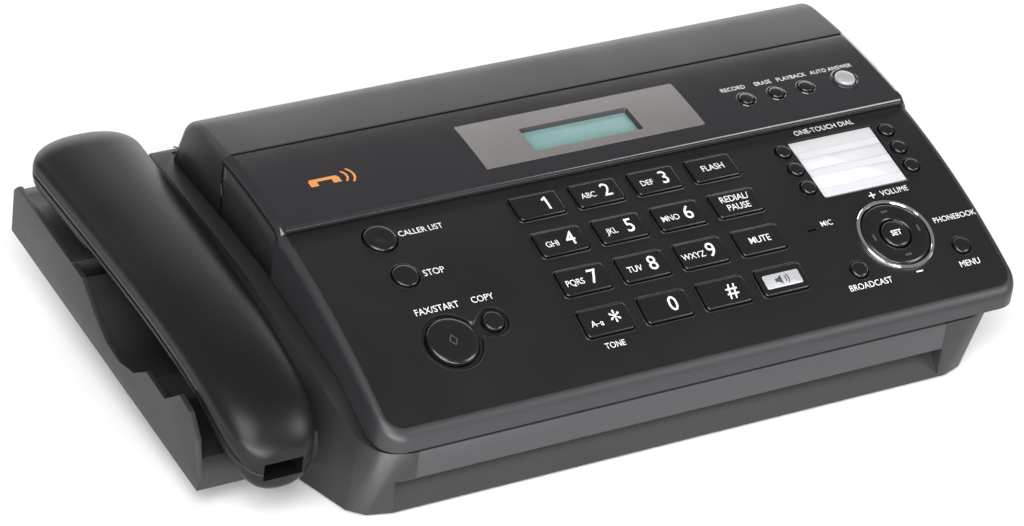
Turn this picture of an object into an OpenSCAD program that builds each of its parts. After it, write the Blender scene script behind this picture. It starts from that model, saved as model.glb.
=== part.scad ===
// Compact desktop fax machine with a side handset.
// Drawn from the left edge of the top cover (x = 0), the panel's front edge (y = 0)
// and the table (z = 0), then moved so that the origin is the bottom centre.

/* [Body] */
// Width of the top cover
cover_w = 290; // [280:1:300]
// Depth of the body from the front face to the rear foot
body_d = 200; // [198:1:206]
// Thickness of the moulded walls
wall = 2.2; // [1.8:0.1:2.6]
// Gap along the parting line between cover and base
parting_gap = 0.6; // [0.4:0.1:1]
// How far the handset cradle stands out to the left of the cover
cradle_reach = 61.5; // [60:0.5:64]

/* [Panel] */
// Radius of the curved top of the cover
panel_r = 320; // [310:1:330]
// Slope of the panel at its front edge, in degrees
panel_tilt = 27.6; // [26.5:0.1:28.5]
// Height of the panel's front edge above the table
panel_z = 36.8; // [36:0.1:38]
// Height of the glossy upper panel above the keypad panel
step_h = 3.2; // [2.8:0.1:3.6]

/* [Keys] */
// Spacing of the key columns
key_pitch_x = 26.9; // [26:0.1:27.5]
// Spacing of the key rows along the slope
key_pitch_s = 19.5; // [19:0.1:20]
// Width of a key
key_w = 20.6; // [18:0.1:21.5]
// Height of a key along the slope
key_h = 11.8; // [10:0.1:13]
// Clear gap round every key and button
key_gap = 0.4; // [0.3:0.05:0.5]

/* [Rollers] */
// Radius of the platen and feed rollers
roller_r = 8; // [7:0.5:8]
// Radius of the roller shafts
shaft_r = 3; // [2.5:0.25:3]
// Clearance between a shaft and its bearing
bearing_gap = 0.05; // [0.02:0.01:0.1]
// Radius of a full paper roll
roll_r = 25; // [20:0.5:25]

/* [Hidden] */

front_y = -4;
rear_y = front_y + body_d;
mid_x = (cover_w - cradle_reach) / 2;
mid_y = (front_y + rear_y) / 2;

// The panel is an arc about this centre, in the y-z plane.
arc_y = panel_r * sin(panel_tilt);
arc_z = panel_z - panel_r * cos(panel_tilt);
top_r = panel_r + step_h;
step_y = 88;
seam_y = 135.5;
crest_y = 157.5;

// Parting line between cover and base, front to back.
parting = [[front_y - 1, 26.9], [11, 26.9], [34, 37], [98, 47.5], [172, 51], [rear_y + 5, 51]];

function lowered(points, drop) = [for (p = points) [p[0], p[1] - drop]];
function reversed(points) = [for (i = [len(points) - 1:-1:0]) points[i]];
function arc_points(c, r, from, to, steps) =
    [for (i = [0:steps]) let (a = from + (to - from) * i / steps) c + r * [cos(a), sin(a)]];
function tilt_at(s) = panel_tilt - s / panel_r * 180 / PI;
function panel_y(s) = panel_r * (sin(panel_tilt) - sin(tilt_at(s)));
function panel_h(s) = arc_z + panel_r * cos(tilt_at(s));
function top_tilt(y) = asin((arc_y - y) / top_r);

module place() translate([-mid_x, -mid_y, 0]) children();

// Extrudes a y-z outline from x0 to x1.
module along_x(x0, x1) translate([x0, 0, 0]) rotate([90, 0, 90]) linear_extrude(x1 - x0) children();

// Puts z up the panel's normal at x and at the distance s up the slope.
module on_panel(x, s) translate([x, panel_y(s), panel_h(s)]) rotate([tilt_at(s), 0, 0]) children();

// The same on the upper panel, at x and y.
module on_top(x, y) translate([x, y, arc_z + top_r * cos(top_tilt(y))])
    rotate([top_tilt(y), 0, 0]) children();

module round_rect(w, h, r) {
    square([w - 2 * r, h], center = true);
    square([w, h - 2 * r], center = true);
    for (x = [-1, 1], y = [-1, 1]) translate([x * (w / 2 - r), y * (h / 2 - r)]) circle(r, $fn = 32);
}

module arc_disc(r) translate([arc_y, arc_z]) circle(r, $fn = 360);

// ---------- layout of the controls ----------
key_x0 = 107.1;
key_s0 = 81.7;
key_names = ["key_1", "key_2", "key_3", "key_flash", "key_4", "key_5", "key_6", "key_redial",
    "key_7", "key_8", "key_9", "key_mute", "key_star", "key_0", "key_hash", "key_speaker"];
function key_pos(i) = [key_x0 + key_pitch_x * (i % 4), key_s0 - key_pitch_s * floor(i / 4)];

// name, x, s, radius, height above the panel
round_buttons = [
    ["one_touch_1", 222.4, 82.5, 3.2, 1.2], ["one_touch_2", 222.4, 72.3, 3.2, 1.2],
    ["one_touch_3", 222.4, 62.1, 3.2, 1.2], ["one_touch_4", 272.7, 82.5, 3.2, 1.2],
    ["one_touch_5", 272.7, 72.3, 3.2, 1.2], ["one_touch_6", 272.7, 62.1, 3.2, 1.2],
    ["caller_id_button", 37.9, 82.4, 6.6, 1.4], ["stop_button", 38.9, 62.4, 5.2, 1.0],
    ["start_button", 43.1, 29.3, 10.3, 1.6], ["copy_button", 63.0, 34.0, 4.2, 1.0],
    ["menu_button", 272.6, 20.2, 3.6, 1.2], ["broadcast_button", 222.9, 19.9, 3.6, 1.2]];

// name, x, y, radius, height above the upper panel
top_buttons = [
    ["record_button", 221.9, 106, 3.2, 1.2], ["erase_button", 236.4, 106, 3.2, 1.2],
    ["playback_button", 250.8, 106, 3.2, 1.2], ["auto_answer_button", 270.1, 106, 4.4, 1.8]];

nav_x = 246.8;
nav_s = 31.7;
nav_ring_r = 16.7;
nav_disc_r = 14.6;
set_r = 6.2;
card = [247, 71.3, 40.5, 31];
bezel = [95.5, 196.5, 97, 124.3];
lcd_hole = [120, 170, 101.3, 115.6];

// Button body: a stem through the hole with a wider collar below the skin.
module button_solid(r, up, skin) {
    translate([0, 0, -skin - 0.3]) cylinder(r = r, h = skin + 0.3 + up * 0.4, $fn = 48);
    translate([0, 0, up * 0.4]) cylinder(r1 = r, r2 = r * 0.8, h = up * 0.6, $fn = 48);
    translate([0, 0, -skin - 1.5]) cylinder(r = r + 1.1, h = 1.2, $fn = 48);
}

module key_solid(w, h) {
    translate([0, 0, -wall - 0.3]) linear_extrude(wall + 1.1) round_rect(w, h, 1.4);
    translate([0, 0, 0.8]) linear_extrude(0.4) round_rect(w - 0.8, h - 0.8, 1.1);
    translate([0, 0, -wall - 1.5]) linear_extrude(1.2) round_rect(w + 2, h + 2, 1.6);
}

module round_button(i) let (b = round_buttons[i]) on_panel(b[1], b[2]) button_solid(b[3], b[4], wall);
module top_button(i) let (b = top_buttons[i]) on_top(b[1], b[2]) button_solid(b[3], b[4], step_h);
module key(i) let (p = key_pos(i)) on_panel(p[0], p[1]) key_solid(key_w, key_h);

// ---------- top cover ----------
module cover_plan(inset) {
    r = 10 - inset;
    translate([inset + r, front_y + inset + r])
        square([cover_w - 2 * (inset + r), rear_y + 20]);
    translate([inset, front_y + inset + r]) square([cover_w - 2 * inset, rear_y + 20]);
    translate([inset + r, front_y + inset]) square([cover_w - 2 * (inset + r), 30]);
    for (x = [inset + r, cover_w - inset - r]) translate([x, front_y + inset + r]) circle(r, $fn = 64);
}

module above_parting(inset, y0, y1) intersection() {
    arc_disc(panel_r - inset);
    polygon(concat([[front_y + inset, 20], [front_y + inset, 31.8], [front_y + inset + 3.4, 36.2]],
        [[front_y + inset + 3.4, 90], [y1, 90], [y1, 20]]));
    translate([y0, 0]) square([y1 - y0, 100]);
}

module below_parting(gap) polygon(concat([[front_y - 1, -1]], lowered(parting, gap), [[rear_y + 5, -1]]));

module panel_holes() {
    for (i = [0:15]) let (p = key_pos(i)) on_panel(p[0], p[1]) translate([0, 0, -6])
        linear_extrude(12) round_rect(key_w + 2 * key_gap, key_h + 2 * key_gap, 1.8);
    for (b = round_buttons) on_panel(b[1], b[2])
        translate([0, 0, -6]) cylinder(r = b[3] + key_gap, h = 12, $fn = 48);
    on_panel(nav_x, nav_s) {
        translate([0, 0, -8]) cylinder(r = nav_disc_r + 0.4, h = 16, $fn = 64);
        translate([0, 0, -0.8]) cylinder(r = nav_ring_r, h = 8, $fn = 64);
    }
    on_panel(card[0], card[1]) translate([-card[2] / 2, -card[3] / 2, -1.3]) cube([card[2], card[3], 8]);
}

module control_panel() color([0.06, 0.06, 0.065]) place() difference() {
    intersection() {
        along_x(0, cover_w) difference() {
            above_parting(0, front_y, step_y + 3);
            below_parting(-parting_gap / 2);
        }
        linear_extrude(100) cover_plan(0);
    }
    intersection() {
        along_x(wall, cover_w - wall) above_parting(wall, front_y, step_y + 4);
        linear_extrude(100) cover_plan(wall);
    }
    panel_holes();
}

// Rear hood outline: concentric top, a rounded crest and a steep rear face.
module hood_outline(inset) intersection() {
    arc_disc(top_r - inset);
    polygon(concat([[step_y + 3.3, 20], [step_y + 3.3, 90], [crest_y, 90]],
        arc_points([crest_y, 62.2], 14 - inset, 90, 22, 8),
        [[177.5 - inset * 1.08, 50]], [[177.5 - inset * 1.08, 20]]));
}

hinge_y = 181.5;
hinge_z = 49;
hinge_x = [34, 256];
pin_r = 2;

module rear_hood() color([0.09, 0.09, 0.095]) place() {
    difference() {
        along_x(0, cover_w) difference() {
            hood_outline(0);
            below_parting(-parting_gap / 2);
        }
        along_x(wall, cover_w - wall) hood_outline(wall + step_h);
        along_x(wall, cover_w - wall) intersection() {
            hood_outline(wall);
            translate([seam_y + 2, 0]) square([60, 100]);
        }
        // recess for the glossy panel, and the document slot behind it
        along_x(3, cover_w - 3) difference() {
            translate([step_y, 60]) square([seam_y - step_y, 30]);
            arc_disc(panel_r + 0.1);
        }
        along_x(30, cover_w - 30) translate([seam_y - 1.2, 60]) square([1.8, 30]);
        for (b = top_buttons) on_top(b[1], b[2]) translate([0, 0, -12])
            cylinder(r = b[3] + 1.6, h = 20, $fn = 48);
        translate([lcd_hole[0] - 14, lcd_hole[2] - 3, 50]) cube([78, 20, 40]);
    }
    // hinge arms with their moulded pins
    for (x = hinge_x) translate([x, 0, 0]) {
        difference() {
            union() {
                along_x(-3, 3) translate([hinge_y, hinge_z]) circle(3.6, $fn = 48);
                along_x(-3, 3) polygon([[174.6, 52], [173.5, 57.5], [176, 57.5], [hinge_y + 1, hinge_z + 3.4],
                    [hinge_y - 1, hinge_z - 2]]);
            }
            along_x(-4, 4) translate([hinge_y - 14, hinge_z - 6]) square([9.2, 8.4]);
        }
        translate([-7, hinge_y, hinge_z]) rotate([0, 90, 0]) cylinder(r = pin_r, h = 14, $fn = 48);
    }
}

module upper_panel() color([0.02, 0.02, 0.022]) place() difference() {
    along_x(3.2, cover_w - 3.2) intersection() {
        arc_disc(top_r);
        difference() {
            polygon([[step_y, 60], [step_y, 70.2], [step_y + 1.6, 73], [step_y + 1.6, 90],
                [seam_y - 1.6, 90], [seam_y - 1.6, 60]]);
            arc_disc(panel_r + 0.3);
        }
    }
    translate([bezel[0], bezel[2], 0]) intersection() {
        cube([bezel[1] - bezel[0], bezel[3] - bezel[2], 100]);
        translate([-bezel[0], -bezel[2], 0]) along_x(0, cover_w) difference() {
            arc_disc(top_r + 5);
            arc_disc(top_r - 1.2);
        }
    }
    translate([lcd_hole[0] - 2, lcd_hole[2] - 2, 50]) cube([54, 18.3, 40]);
    for (b = top_buttons) on_top(b[1], b[2])
        translate([0, 0, -8]) cylinder(r = b[3] + key_gap, h = 16, $fn = 48);
}

module lcd_bezel() color([0.62, 0.62, 0.64]) place() difference() {
    along_x(bezel[0] + 0.1, bezel[1] - 0.1) difference() {
        intersection() {
            arc_disc(top_r + 0.3);
            translate([bezel[2] + 0.1, 0]) square([bezel[3] - bezel[2] - 0.2, 100]);
        }
        arc_disc(top_r - 1.2);
    }
    translate([lcd_hole[0], lcd_hole[2], 50]) cube([50, 14.3, 40]);
}

// Board under the keypad panel, its rubber contact sheet, and the display on its carrier.
module panel_board() color([0.35, 0.52, 0.5]) place() {
    on_top(145, 108.4) {
        translate([-25.8, -7.9, -3.3]) cube([51.6, 15.8, 1.9]);
        translate([-36, -9, -4.9]) cube([72, 18, 1.6]);
    }
    on_panel(150, 46) {
        translate([-125, -42, -10.6]) cube([250, 84, 1.6]);
        translate([-52, -26, -9]) cube([116, 66, 0.6]);
    }
}

module directory_card() color([0.9, 0.9, 0.9]) place()
    on_panel(card[0], card[1]) {
        translate([-card[2] / 2 + 0.2, -card[3] / 2 + 0.2, -1.25]) cube([card[2] - 0.4, card[3] - 0.4, 0.3]);
        translate([-card[2] / 2 + 0.1, -card[3] / 2 + 0.1, -0.9]) cube([card[2] - 0.2, card[3] - 0.2, 1.2]);
    }

module nav_ring() color([0.8, 0.8, 0.82]) place() on_panel(nav_x, nav_s) difference() {
    translate([0, 0, -0.8]) cylinder(r = nav_ring_r - 0.05, h = 2.2, $fn = 64);
    translate([0, 0, -2]) cylinder(r = nav_disc_r + 0.4, h = 5, $fn = 64);
}

module navigator_disc() color([0.05, 0.05, 0.05]) place() on_panel(nav_x, nav_s) difference() {
    union() {
        translate([0, 0, -2.4]) cylinder(r = nav_disc_r, h = 3, $fn = 64);
        translate([0, 0, 0.6]) cylinder(r1 = nav_disc_r, r2 = nav_disc_r - 1.4, h = 0.8, $fn = 64);
    }
    translate([0, 0, -4]) cylinder(r = set_r + 0.6, h = 8, $fn = 48);
}

module set_button() color([0.05, 0.05, 0.05]) place() on_panel(nav_x, nav_s) {
    translate([0, 0, -3.4]) cylinder(r = set_r, h = 4.2, $fn = 48);
    translate([0, 0, 0.8]) cylinder(r1 = set_r, r2 = set_r - 0.8, h = 0.6, $fn = 48);
    translate([0, 0, -4.4]) cylinder(r = set_r - 1, h = 1, $fn = 48);
}

// ---------- base ----------
base_foot = [[6, front_y], [-4, -1.5], [-9.6, 4], [-16.5, 27], [-16.5, rear_y - 3], [-13.5, rear_y],
    [267, rear_y], [270, rear_y - 3], [270, 5], [267, -1], [258, front_y]];
base_top = [[18, front_y], [10, 0], [8, 8], [-2, 34], [-6, 98], [-6, 182], [288, 182], [288, 8],
    [284, -1], [276, front_y]];
base_top_z = 54;
rim_t = 2.5;
foot_h = 1;
floor_z = 2.8;

module base_form(inset) hull() {
    translate([0, 0, foot_h]) linear_extrude(0.01) offset(delta = -inset) polygon(base_foot);
    translate([0, 0, base_top_z]) linear_extrude(0.01) offset(delta = -inset) polygon(base_top);
}

fascia_x = [14.4, 254.2];
fascia_z = [14.4, 26.4];
slope_top = [8.5, 14.4];

platen = [24, 17];
feeder = [68, 25];
gear_teeth = 22;
drive_teeth = 24;
gear_x = [245, 250];
frame_x = [[17.5, 20.5], [240.5, 243.5]];

// The drive gear meshes with both roller gears.
gear_gap = norm(feeder - platen);
mesh_dist = (gear_teeth + drive_teeth) / 2;
mesh_rise = sqrt(mesh_dist * mesh_dist - gear_gap * gear_gap / 4);
gear_dir = (feeder - platen) / gear_gap;
drive = (platen + feeder) / 2 + mesh_rise * [-gear_dir[1], gear_dir[0]];

roll = [150, 35];
jack_pos = [[-15, 40], [30, rear_y], [50, rear_y]];
inlet_x = 225;
board_z = 9;
feet = [[16, 16], [246, 16], [4, 180], [252, 180]];
screws = [[40, 100], [185, 100], [40, 117], [185, 117]];

module side_frame(x0, x1) along_x(x0, x1) difference() {
    polygon([[14, 2.1], [14, 23], [32, 23.4], [58, 33], [78, 33], [78, 2.1]]);
    translate(platen) circle(shaft_r + bearing_gap, $fn = 48);
    translate(feeder) circle(shaft_r + bearing_gap, $fn = 48);
}

module bottom_case() color([0.08, 0.08, 0.085]) place() {
    difference() {
        intersection() {
            base_form(0);
            along_x(-40, 320) below_parting(parting_gap / 2);
        }
        intersection() {
            base_form(wall);
            along_x(-40, 320) polygon([[2.4, floor_z], [10.6, 12.4], [10.6, 60], [rear_y, 60],
                [rear_y, floor_z]]);
        }
        // front recess with its sloping back, and the opening behind the fascia
        along_x(6, fascia_x[1]) polygon([[front_y - 2, foot_h + 0.8], [front_y, foot_h + 0.8], slope_top,
            [slope_top[0], fascia_z[0]], [front_y - 2, fascia_z[0]]]);
        along_x(fascia_x[0], fascia_x[1]) polygon([[front_y - 2, 13], [12, 13], [12, 30], [front_y - 2, 30]]);
        // sockets: handset jack, two line jacks and the mains inlet
        translate([-25, jack_pos[0][1] - 5.4, 3.8]) cube([22, 10.8, 8]);
        for (i = [1, 2]) translate([jack_pos[i][0] - 5.4, rear_y - 10, 6.2]) cube([10.8, 20, 8]);
        translate([inlet_x - 10.2, rear_y - 10, 6]) cube([20.4, 20, 12]);
        // loudspeaker slots through the floor
        for (i = [-3:3]) translate([218 + i * 4 - 1, 92, -1]) cube([2, 20, 5]);
        // room for the cover's hinge arms and their pins
        for (x = hinge_x) {
            translate([x - 3.7, 176, hinge_z - 4.4]) cube([7.4, 20, 20]);
            translate([x - 7.4, hinge_y, hinge_z]) rotate([0, 90, 0])
                cylinder(r = pin_r + bearing_gap, h = 14.8, $fn = 48);
        }
    }
    // ledge that closes the gap beside the cover
    intersection() {
        base_form(0);
        along_x(-20, 2) polygon(concat(lowered(parting, parting_gap / 2), reversed(lowered(parting, rim_t))));
    }
    // ledge that closes the gap behind the hood, broken at the hinges
    for (x = [[-3, 24], [44, 246], [266, 284]]) along_x(x[0], x[1])
        polygon([[173.5, 48.4], [173.5, 50.2], [182.5, 50.2], [184, 48.4]]);
    for (f = frame_x) side_frame(f[0], f[1]);
    // saddles under the paper roll
    for (x = [40, 217]) along_x(x, x + 3) difference() {
        translate([roll[0] - 20, 2.1]) square([40, 16]);
        translate(roll) circle(roll_r + 0.8, $fn = 90);
    }
    for (s = screws) translate([s[0], s[1], 2.1]) difference() {
        cylinder(r = 3, h = board_z - 2.1, $fn = 32);
        translate([0, 0, 1]) cylinder(r = 1.2, h = 10, $fn = 24);
    }
    // lugs for the cover's hinge pins
    for (x = hinge_x, side = [-1, 1]) difference() {
        along_x(x + side * 5.4 - 1.9, x + side * 5.4 + 1.9) union() {
            translate([hinge_y, hinge_z]) circle(3.6, $fn = 48);
            polygon([[hinge_y - 3.6, hinge_z], [hinge_y + 3.6, hinge_z], [hinge_y + 6.6, 38],
                [hinge_y - 1, 38]]);
        }
        translate([x - 20, hinge_y, hinge_z]) rotate([0, 90, 0])
            cylinder(r = pin_r + bearing_gap, h = 40, $fn = 48);
    }
    // motor cradle
    along_x(253, 255) difference() {
        translate([drive[0] - 8, 2.1]) square([16, drive[1] - 2]);
        translate(drive) circle(15.2, $fn = 64);
    }
}

module front_fascia() color([0.09, 0.09, 0.095]) place() {
    along_x(fascia_x[0], fascia_x[1])
        polygon([[front_y, fascia_z[0]], [front_y, fascia_z[1]], [front_y + 2.4, fascia_z[1]],
            [front_y + 2.4, fascia_z[0] + 2], [front_y + 6, fascia_z[0] + 2], [front_y + 6, fascia_z[0]]]);
}

// Spur gear with straight-flanked teeth; phase turns it so that the set is in mesh.
module spur(teeth, width, phase) {
    r = teeth / 2;
    rotate([0, 0, phase]) linear_extrude(width) {
        circle(r - 1.15, $fn = 96);
        for (i = [0:teeth - 1]) rotate(i * 360 / teeth)
            polygon([[r - 1.6, -1.0], [r - 1.2, -0.95], [r, -0.66], [r + 0.8, -0.34],
                [r + 0.8, 0.34], [r, 0.66], [r - 1.2, 0.95], [r - 1.6, 1.0]]);
    }
}

function dir_angle(a, b) = atan2(b[1] - a[1], b[0] - a[0]);
to_drive = dir_angle(platen, drive);
to_feeder = dir_angle(drive, feeder);
drive_phase = to_drive + 180 + 180 / drive_teeth;
drive_step = 360 / drive_teeth;
drive_offset = drive_phase - to_feeder - drive_step * round((drive_phase - to_feeder) / drive_step);
feed_phase = to_feeder + 180 - drive_offset * drive_teeth / gear_teeth + 180 / gear_teeth;

module shaft_along_x(at, x0, x1, r) along_x(x0, x1) translate(at) circle(r, $fn = 48);
module gear_along_x(at, teeth, phase, x0, x1)
    translate([x0, at[0], at[1]]) rotate([90, 0, 90]) spur(teeth, x1 - x0, phase);

module platen_roller() color([0.12, 0.12, 0.12]) place() {
    shaft_along_x(platen, 21.2, 239.8, roller_r);
    shaft_along_x(platen, 14, 251, shaft_r);
    gear_along_x(platen, gear_teeth, to_drive, gear_x[0], gear_x[1]);
}

module feed_roller() color([0.2, 0.2, 0.2]) place() {
    for (x = [60, 118, 176]) shaft_along_x(feeder, x, x + 24, roller_r);
    shaft_along_x(feeder, 14, 251, shaft_r);
    gear_along_x(feeder, gear_teeth, feed_phase, gear_x[0], gear_x[1]);
}

module drive_gear() color([0.85, 0.85, 0.8]) place() {
    gear_along_x(drive, drive_teeth, drive_phase, gear_x[0], gear_x[1]);
    shaft_along_x(drive, gear_x[0], 254.5, 1.5);
}

module drive_motor() color([0.55, 0.55, 0.57]) place() along_x(253, 266) difference() {
    translate(drive) circle(15, $fn = 64);
    translate(drive) circle(1.6, $fn = 32);
}

module thermal_head() color([0.7, 0.68, 0.6]) place() {
    translate([24, platen[0] - 8, 5.2]) cube([213, 16, 2]);
    translate([24, platen[0] - 4, 7.2]) cube([213, 8, 1.5]);
    for (x = [50, 130, 210]) translate([x, platen[0], floor_z]) difference() {
        cylinder(r = 3, h = 2.4, $fn = 32);
        translate([0, 0, -1]) cylinder(r = 2.2, h = 5, $fn = 32);
    }
}

module image_sensor() color([0.15, 0.15, 0.15]) place() {
    translate([21, 39.5, 18]) cube([218, 14, 11.6]);
    translate([23, 42.5, 29.6]) cube([214, 8, 1.4]);
}

module paper_roll() color([0.93, 0.92, 0.88]) place() along_x(22, 238) difference() {
    translate(roll) circle(roll_r, $fn = 96);
    translate(roll) circle(6.35, $fn = 48);
}

module circuit_boards() color([0.1, 0.35, 0.2]) place() {
    difference() {
        union() {
            translate([24, 86, board_z]) cube([86, 36, 1.6]);
            translate([120, 86, board_z]) cube([72, 36, 1.6]);
        }
        for (s = screws) translate([s[0], s[1], 0]) cylinder(r = 1.6, h = 30, $fn = 24);
    }
    for (b = [[50, 92, 22, 22, 3], [78, 92, 14, 14, 2], [96, 92, 10, 8, 2], [130, 90, 26, 22, 18],
        [162, 92, 8, 8, 14], [162, 106, 8, 8, 14]])
        translate([b[0], b[1], board_z + 1.6]) cube([b[2], b[3], b[4]]);
}

module jack_body() difference() {
    translate([-6.4, 0, -1]) cube([12.8, 12, 11]);
    translate([-5, -1, 0.2]) cube([10, 11, 7.4]);
}

module modular_jacks() color([0.15, 0.15, 0.15]) place() {
    translate([jack_pos[0][0] + 3.6, jack_pos[0][1], 4]) rotate([0, 0, -90]) jack_body();
    for (i = [1, 2]) translate([jack_pos[i][0], rear_y - 7.5, 6.4]) rotate([0, 0, 180]) jack_body();
}

module power_inlet() color([0.12, 0.12, 0.12]) place() translate([inlet_x, rear_y - 7.5, 12]) difference() {
    translate([-11.2, -14, -7]) cube([22.4, 14, 14]);
    translate([0, 1, 0]) rotate([90, 0, 0]) linear_extrude(12) round_rect(17.6, 8.8, 4.2);
}

module speaker() color([0.3, 0.3, 0.3]) place() translate([218, 102, floor_z]) difference() {
    union() {
        cylinder(r = 20, h = 3, $fn = 64);
        translate([0, 0, 3]) cylinder(r1 = 18, r2 = 11, h = 6, $fn = 64);
        translate([0, 0, 9]) cylinder(r = 11, h = 6, $fn = 64);
    }
    translate([0, 0, -1]) cylinder(r1 = 17, r2 = 6, h = 7, $fn = 64);
}

module rubber_feet() color([0.1, 0.1, 0.1]) place()
    for (p = feet) translate([p[0], p[1], 0]) cylinder(r = 5.8, h = foot_h, $fn = 32);

module case_screws() color([0.6, 0.6, 0.6]) place()
    for (s = screws) translate([s[0], s[1], board_z + 1.6]) {
        cylinder(r = 2.4, h = 1.4, $fn = 24);
        translate([0, 0, -6]) cylinder(r = 1.15, h = 6.2, $fn = 24);
    }

// ---------- cradle ----------
cradle_left = -cradle_reach;
cradle_low = [[24.4, 9.5], [189, 23.3]];
rail = [[24.4, 13.5], [28, 30], [35, 38], [43.5, 40], [54.4, 31], [70, 33]];
scoop = [[80, 26], [91.6, 23.4], [103, 25], [115, 31], [127, 39.5]];

module cradle_side() polygon(concat([cradle_low[0]], rail, scoop, [[186, 45], [189, 42], cradle_low[1]]));

cradle_bed = concat([[24.4, 13.5], [27, 22], [54, 22], [58, 18], [68, 18], [72, 27.5]], lowered(scoop, 0.4),
    [[128.5, 34], [134, 34], [136, 40.6], [180, 40.6], [184, 41.6], [189, 41.6]]);

module cradle_bed_form(drop) offset(delta = -drop)
    polygon(concat([[24.4, -10]], cradle_bed, [[189, -10]]));

module handset_cradle() color([0.09, 0.09, 0.095]) place() difference() {
    union() {
        along_x(cradle_left, cradle_left + wall) cradle_side();
        difference() {
            along_x(cradle_left, -11) intersection() {
                cradle_bed_form(0);
                polygon([cradle_low[0], [24.4, 60], [189, 60], cradle_low[1]]);
            }
            along_x(cradle_left + wall, -3) cradle_bed_form(wall);
        }
    }
    intersection() {
        base_form(-0.02);
        along_x(-70, 20) translate([0, -5]) square([300, 80]);
    }
    translate([hook_at[0], hook_at[1], 0]) cylinder(r = 3.1, h = 60, $fn = 32);
}

// ---------- handset ----------
handset_y = [5, 188];
handset_x = -36.85;
half_w = [18.8, 23.1];
nose_l = 33;
tail_l = 14;
function smooth(a, b, y) = let (t = min(max((y - a) / (b - a), 0), 1)) t * t * (3 - 2 * t);
// Rounds an end: 0 at the end itself, 1 from length on.
function ease(d, length, n) = let (t = min(max(d / length, 0), 1)) pow(1 - pow(1 - t, n), 1 / n);
function from_nose(y) = y - handset_y[0];
function from_tail(y) = handset_y[1] - y;
function seam_z(y) = 47.2 - 22.6 * exp(-from_nose(y) / 30.8) + 0.05 * from_nose(y);
function cup(y) = 1 - smooth(20, 42, y) + smooth(127, 139, y);
function wide(y) = (half_w[0] + (half_w[1] - half_w[0]) * from_nose(y) / (handset_y[1] - handset_y[0]))
    * ease(from_nose(y), nose_l, 3.2) * ease(from_tail(y), tail_l, 2.4);
function band_up(y) = 2.6 + 3.4 * exp(-from_nose(y) / 24);
function dome_h(y) = 9.2 * ease(from_nose(y), 18, 2.2) * ease(from_tail(y), 15, 2.2);
function low_h(y) = (6.3 + 5.2 * cup(y)) * ease(from_nose(y), 8, 2.2) * ease(from_tail(y), 9, 2.2);
band_low = 1.2;
hs_steps = 40;
hs_ring = 20;
function hs_y(i, shrink) = let (t = 0.5 - 0.5 * cos(180 * i / hs_steps))
    handset_y[0] + shrink + (handset_y[1] - handset_y[0] - 2 * shrink) * t;
function super(a, n) = sign(a) * pow(abs(a), 2 / n);

// One half of the handset as a loft: a short upright band beside the seam, then a flat dome.
// side is 1 above the seam and -1 below it.
module half_handset(side, inset, gap) {
    rings = [for (i = [0:hs_steps]) let (y = hs_y(i, 0.7 + inset),
        w = max(wide(y) - inset, 0.3),
        band = gap + (side > 0 ? band_up(y) : band_low),
        h = max((side > 0 ? dome_h(y) : low_h(y)) - inset, 0.3))
        concat([[handset_x + w, y, seam_z(y) + side * gap]],
            [for (j = [0:hs_ring]) let (a = 180 * j / hs_ring)
                [handset_x + w * super(cos(a), 2.3), y, seam_z(y) + side * (band + h * super(sin(a), 2.2))]],
            [[handset_x - w, y, seam_z(y) + side * gap]])];
    n = hs_ring + 3;
    points = [for (r = rings, p = r) p];
    walls = [for (i = [0:hs_steps - 1], j = [0:n - 1])
        let (k = (j + 1) % n) [i * n + j, i * n + k, (i + 1) * n + k, (i + 1) * n + j]];
    caps = [[for (j = [n - 1:-1:0]) j], [for (j = [0:n - 1]) hs_steps * n + j]];
    faces = concat(walls, caps);
    polyhedron(points, side > 0 ? faces : [for (f = faces) reversed(f)], convexity = 6);
}

jack_hole = [16, 7.2];
jack_hole_z = 22.2;
module handset_jack_hole() translate([handset_x - jack_hole[0] / 2, 0, jack_hole_z])
    cube([jack_hole[0], 22, jack_hole[1]]);

module handset_upper() color([0.07, 0.07, 0.075]) place() difference() {
    half_handset(1, 0, 0.05);
    half_handset(1, wall, -1);
    handset_jack_hole();
}

module handset_lower() color([0.09, 0.09, 0.095]) place() difference() {
    half_handset(-1, 0, 0.05);
    half_handset(-1, wall, -1);
    handset_jack_hole();
}

// Plunger that stands on the switch and touches the underside of the rear cup.
hook_at = [handset_x, 146];
hook_top = seam_z(hook_at[1]) - band_low - low_h(hook_at[1]) - 0.2;
module hook_switch() color([0.15, 0.15, 0.15]) place() translate([hook_at[0], hook_at[1], 0]) {
    translate([0, 0, 30]) cylinder(r = 2.8, h = hook_top - 30, $fn = 32);
    translate([0, 0, 34]) cylinder(r = 5, h = 1.2, $fn = 32);
}

bottom_case();
handset_cradle();
front_fascia();
paper_roll();
thermal_head();
platen_roller();
feed_roller();
image_sensor();
drive_motor();
drive_gear();
circuit_boards();
modular_jacks();
power_inlet();
speaker();
rubber_feet();
case_screws();
hook_switch();
control_panel();
upper_panel();
rear_hood();
lcd_bezel();
panel_board();
directory_card();
nav_ring();
navigator_disc();
set_button();
handset_upper();
handset_lower();
for (i = [0:15]) color([0.03, 0.03, 0.03]) place() key(i);
for (i = [0:len(round_buttons) - 1]) color([0.05, 0.05, 0.05]) place() round_button(i);
for (i = [0:len(top_buttons) - 1]) color([0.05, 0.05, 0.05]) place() top_button(i);
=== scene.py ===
import math

import bmesh
import bpy
from mathutils import Matrix, Vector


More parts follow.
